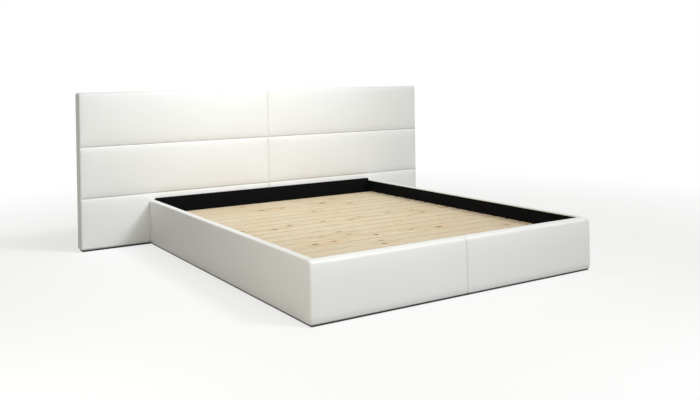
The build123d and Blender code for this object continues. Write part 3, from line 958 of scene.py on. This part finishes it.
def cover(sign, half):
    """The cover of one half of the bed box."""
    rings = []
    creases = []
    loose = []
    for (out_x, out_y), (in_x, in_y), blend in cover_path():
        padding = side_padding + (foot_padding - side_padding) * blend
        thickness = (bed_half - well_half) * (1 - blend) + (well_foot - foot_face) * blend
        to_seam = -foot_seam - out_x if blend == 1.0 else 1.0
        to_head = head_end - out_y if blend == 0.0 else 1.0
        pull = seam_depth * (1 - roll_over(to_seam, seam_roll))
        ring = []
        for place, share in cover_section():
            inset, z = section_point(place, share, padding, thickness, blend)
            if place in ("face", "top edge", "low edge"):
                inset += pull
                inset += unevenness * noise.noise(Vector((out_x * 6, out_y * 6, z * 9 + sign)))
            if place in ("top edge", "top") and share < 1.0:
                z -= 0.4 * pull * share if place == "top edge" else 0.4 * pull * (1 - share)
            part = inset / thickness
            x = out_x + (in_x - out_x) * part
            y = out_y + (in_y - out_y) * part
            ring.append((-sign * x, y, z))
            # Beside the middle seam the face and low edge are painted darker, as painted shade with some dust.
            shaded = place in ("face", "low edge")
            creases.append(seam_shade * math.exp(-to_seam / seam_shade_reach) if shaded else 0.0)
            loose.append(looseness(min(to_seam, to_head)) if place == "face" else 0.0)
        rings.append(ring)
    piece = skin(f"rail_cover_{half}", rings, leatherette, creases)
    hold(piece, loose)
    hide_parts(f"side_rail_pad_{half}", f"foot_rail_pad_{half}")
    return piece


covers = [cover(-1, "left"), cover(1, "right")]
print("covers:", [piece.name for piece in covers])

# %% [markdown]
# ## Swelling the padding
# Foam presses its cover outwards, and the cover gives way most where it is farthest from a seam. That is
# what a cloth simulation with air pressure computes. The vertex group named held keeps the
# seams and the backs where they are. The result is kept to a millimetre or two and written into the
# mesh, so no simulation is left on the piece.

# %% Swelling
swell_frames = 14
swell_pressure = 3.0


def start_swelling(piece):
    """Give a padded piece a cloth simulation with pressure and without gravity."""
    cloth = piece.modifiers.new("swelling", "CLOTH")
    cloth.settings.vertex_group_mass = "held"
    cloth.settings.use_pressure = True
    cloth.settings.uniform_pressure_force = swell_pressure
    cloth.settings.effector_weights.gravity = 0
    cloth.settings.quality = 4
    cloth.settings.tension_stiffness = 25
    cloth.settings.compression_stiffness = 25
    cloth.settings.bending_stiffness = 2
    cloth.point_cache.frame_start = 1
    cloth.point_cache.frame_end = swell_frames


def keep_swelling(piece, most):
    """Write the swollen shape into the mesh, with no point moved further than `most`."""
    swollen = piece.evaluated_get(bpy.context.evaluated_depsgraph_get()).data.vertices
    furthest = 0.0
    for vertex, moved in zip(piece.data.vertices, [point.co.copy() for point in swollen]):
        step = moved - vertex.co
        length = step.length
        if length > 0:
            furthest = max(furthest, length)
            vertex.co += step * (most * (1 - math.exp(-length / most)) / length)
    piece.modifiers.clear()
    return furthest


for piece in cells + covers:
    start_swelling(piece)
for number in range(1, swell_frames + 1):
    scene.frame_set(number)
pushes = [keep_swelling(piece, cell_swell) for piece in cells]
pushes += [keep_swelling(piece, rail_swell) for piece in covers]
scene.frame_set(1)
print("swollen by up to", [round(push * 1000, 1) for push in pushes], "mm before the limit")

# %% [markdown]
# ## Black linings of the well
# Thin black cloth is stretched over the inner faces of the box. It is a sheet with a front and a back, a
# millimetre and a half apart, and small ripples where the tension differs.


# %% Linings
def ripple(along, up, seed):
    """Small waves of a stretched cloth."""
    return 0.0006 * noise.noise(Vector((along * 5, up * 4, seed))) * min(1.0, 8 * abs(up))


def side_lining(half, sign):
    """The cloth along a side of the well."""
    node = f"side_rail_lining_{half}"
    low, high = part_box(node)
    inner = min(abs(low.x), abs(high.x))
    outer = max(abs(low.x), abs(high.x))
    rings = []
    for y in stations(high.y - low.y, (0.02,), 0.05):
        ring = [(sign * outer, low.y + y, low.z), (sign * outer, low.y + y, high.z)]
        for step in range(9):
            z = high.z + (low.z - high.z) * step / 8
            ring.append((sign * (inner + ripple(y, high.z - z, sign)), low.y + y, z))
        rings.append(ring)
    piece = skin(f"side_lining_{half}", rings, lining_cloth)
    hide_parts(node)
    return piece


def foot_lining():
    """The cloth along the foot of the well."""
    low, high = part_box("foot_rail_lining")
    rings = []
    for x in stations(high.x - low.x, (0.02,), 0.05):
        ring = [(low.x + x, low.y, low.z), (low.x + x, low.y, high.z)]
        for step in range(9):
            z = high.z + (low.z - high.z) * step / 8
            ring.append((low.x + x, high.y - ripple(x, high.z - z, 3), z))
        rings.append(ring)
    piece = skin("foot_lining", rings, lining_cloth)
    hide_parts("foot_rail_lining")
    return piece


def head_lining(half):
    """The cloth of half the head board, turned over the board's top and folded down at its end."""
    node = f"head_rail_lining_{half}"
    low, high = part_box(node)
    cloth = 0.0015
    turn = 0.004
    sign = -1 if half == "left" else 1
    end = max(abs(low.x), abs(high.x))
    rings = []
    places = [(place, 1.0) for place in stations(end, (0.001, 0.004, 0.012), 0.05)]
    for from_seam, squeeze in places + [(end + 0.8 * cloth, 0.85), (end + cloth, 0.1)]:
        pull = 0.0012 * math.exp(-from_seam / 0.004)
        section = [(low.y + cloth, low.z), (low.y + cloth, high.z - cloth)]
        section += [(high.y, high.z - cloth), (high.y, high.z)]
        for step in range(5):
            angle = math.pi / 2 * step / 4
            section.append((
                low.y + pull + turn * (1 - math.sin(angle)),
                high.z - turn * (1 - math.cos(angle)),
            ))
        for step in range(1, 9):
            z = high.z - turn + (low.z - high.z + turn) * step / 8
            section.append((low.y + pull + ripple(from_seam, high.z - z, 9 + sign), z))
        rings.append([
            (sign * from_seam, y, z if z < rail_top else rail_top + (z - rail_top) * squeeze)
            for y, z in section
        ])
    piece = skin(f"head_lining_{half}", rings, lining_cloth)
    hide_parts(node)
    return piece


linings = [side_lining("left", -1), side_lining("right", 1), foot_lining()]
linings += [head_lining("left"), head_lining("right")]
print("linings:", len(linings))

# %% [markdown]
# ## Backs of the headboard
# Black cloth closes the back of each half. It is stapled along its edges about every six centimetres. It
# is not pulled quite tight, so a slow noise lets it wave by less than a millimetre.

# %% Backings
staple_pitch = 0.06
staple_inset = 0.007


def backing(half):
    """The cloth on the back of one half of the headboard."""
    node = f"headboard_backing_{half}"
    low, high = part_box(node)
    rings = []
    for x in stations(high.x - low.x, (0.004, 0.012), 0.02):
        ring = []
        for step in range(45):
            z = low.z + (high.z - low.z) * step / 44
            ring.append((low.x + x, high.y + 0.0007 * noise.noise(Vector((x * 7, z * 7, 4))) - 0.0004, z))
        ring.append((low.x + x, low.y, high.z))
        ring.append((low.x + x, low.y, low.z))
        rings.append(ring)
    piece = skin(f"back_cloth_{half}", rings, backing_cloth)
    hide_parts(node)
    return low, high


back_boxes = [backing("left"), backing("right")]
print("backs:", len(back_boxes))

# %% [markdown]
# ## Staples
# A staple is a bent flat wire. One function makes all of them in one mesh from a list of places, each
# with the direction of its crown and the side it faces.


# %% Staples
def staples(name, places, crown=0.011, wire=0.0011, stand=0.0006):
    """Staples at (place, crown direction, facing direction), as one mesh."""
    points = []
    faces = []
    for place, along, facing in places:
        place = Vector(place)
        along = Vector(along)
        facing = Vector(facing)
        side = along.cross(facing)
        start = len(points)
        outline = [(-0.5, -0.0006), (-0.5, 0.5 * stand), (-0.44, stand), (0.44, stand), (0.5, 0.5 * stand)]
        outline.append((0.5, -0.0006))
        for edge in (-0.5, 0.5):
            for reach, lift in outline:
                points.append(place + along * reach * crown + facing * lift + side * edge * wire)
        count = len(outline)
        faces += strip(start, count)
        faces.append(tuple(range(start, start + count)))
        faces.append(tuple(range(start + 2 * count - 1, start + count - 1, -1)))
    piece = shell(name, points, faces, zinc)
    return piece


def spread(low, high):
    """Places about one staple pitch apart between two ends."""
    count = round((high - low) / staple_pitch)
    return [low + (high - low) * step / count for step in range(count + 1)]


back_places = []
for low, high in back_boxes:
    for x in spread(low.x + 0.02, high.x - 0.02):
        for z in (low.z + staple_inset, high.z - staple_inset):
            back_places.append(((x, high.y + 0.0002, z), (1, 0, 0), (0, 1, 0)))
    for z in spread(low.z + 0.03, high.z - 0.03):
        for x in (low.x + staple_inset, high.x - staple_inset):
            back_places.append(((x, high.y + 0.0002, z), (0, 0, 1), (0, 1, 0)))
back_staples = staples("back_staples", back_places)
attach(back_staples, "bed_frame")
print("staples in the backs:", len(back_places))

# %% [markdown]
# ## Tapes under the slats
# Two webbing tapes hold the loose slats at their spacing. A tape lies flat against each slat and sags a
# little between two of them. It rides on the slats, with two staples in each slat.

# %% Tapes
slat_names = [name for name in sorted(nodes) if name.startswith("slat_") and name[5:].isdigit()]
slat_boxes = [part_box(name) for name in slat_names]
tape_low, tape_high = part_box("slat_tapes")
tape_width = 0.030
tape_thick = 0.0012
tape_sag = 0.0035
tape_places = []


def tape(half, sign):
    """A tape along one side of the deck."""
    middle = sign * (tape_high.x - tape_width / 2)
    top = tape_high.z
    line = []
    for number, (low, high) in enumerate(slat_boxes):
        line += [(low.y + 0.002, 0.0), ((low.y + high.y) / 2, 0.0), (high.y - 0.002, 0.0)]
        if number + 1 < len(slat_boxes):
            gap = slat_boxes[number + 1][0].y - high.y
            line += [(high.y + gap * share, tape_sag * dip) for share, dip in ((0.3, 0.8), (0.7, 0.8))]
    rings = []
    for y, sag in line:
        ring = []
        for x, z in ((-0.5, 0), (-0.47, 0.3), (0.47, 0.3), (0.5, 0), (0.47, -0.3), (-0.47, -0.3)):
            bow = tape_thick * (0.5 - z / 0.6)
            ring.append((middle + x * tape_width, y, top - sag - bow))
        rings.append(ring)
    piece = skin(f"slat_tape_{half}", rings, tape_webbing)
    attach(piece, "slat_deck")
    for low, high in slat_boxes:
        for shift in (-0.3, 0.3):
            y = (low.y + high.y) / 2 + shift * (high.y - low.y)
            tape_places.append(((middle, y, top - tape_thick), (1, 0, 0), (0, 0, -1)))
    return piece


left_tape = tape("left", -1)
right_tape = tape("right", 1)
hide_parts("slat_tapes")
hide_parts("slat_tapes")
tape_staples = staples("tape_staples", tape_places)
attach(tape_staples, "slat_deck")
print("tapes: 2 with", len(tape_places), "staples")

# %% [markdown]
# ## Screws
# The ledges, the beam's hangers and the legs' plates are held by pan-head screws. A head is a low dome
# turned from a short outline, with a cross recess sunk into its middle.


# %% Screws
def screws(name, places, radius=0.004, height=0.0024):
    """Pan-head screws at (place, facing direction), as one mesh."""
    around = 16
    outline = [(1.0, 0.0), (1.0, 0.35), (0.86, 0.75), (0.6, 0.95), (0.42, 1.0)]
    rows = [(row, row) for row in outline] + [((0.40, 0.95), (0.16, 0.9)), ((0.34, 0.2), (0.13, 0.2))]
    points = []
    faces = []
    for place, facing in places:
        turn = Vector(facing).to_track_quat("Z", "Y")
        start = len(points)
        for arm_of_cross, elsewhere in rows:
            for step in range(around):
                angle = math.tau * step / around
                reach, lift = arm_of_cross if step % 4 == 0 else elsewhere
                local = Vector((math.cos(angle) * reach, math.sin(angle) * reach, 0)) * radius
                points.append(Vector(place) + turn @ (local + Vector((0, 0, lift * height))))
        last = start + (len(rows) - 1) * around
        for first in range(start, last, around):
            faces += strip(first, around)
        faces.append(tuple(range(last, last + around)))
        faces.append(tuple(range(start + around - 1, start - 1, -1)))
    piece = shell(name, points, faces, zinc, outward=False)
    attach(piece, "bed_frame")
    return piece


screw_places = []
ledge_low, ledge_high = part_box("slat_ledge_left")
for step in range(9):
    y = ledge_low.y + 0.06 + (ledge_high.y - ledge_low.y - 0.12) * step / 8
    for sign in (1, -1):
        screw_places.append(((sign * ledge_high.x, y, (ledge_low.z + ledge_high.z) / 2), (sign, 0, 0)))
hanger_low, hanger_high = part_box("beam_hangers")
for sign in (-1, 1):
    for z in (hanger_low.z + 0.015, hanger_low.z + 0.045):
        x = sign * (hanger_high.x - 0.014)
        screw_places.append(((x, hanger_high.y - 0.0025, z), (0, -1, 0)))
        screw_places.append(((x, hanger_low.y + 0.0025, z), (0, 1, 0)))
for name in ("support_leg_head", "support_leg_foot"):
    low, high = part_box(name)
    for x in (low.x + 0.012, high.x - 0.012):
        for y in (low.y + 0.012, high.y - 0.012):
            screw_places.append(((x, y, high.z - 0.003), (0, 0, -1)))
screws("fixing_screws", screw_places)
print("screws:", len(screw_places))
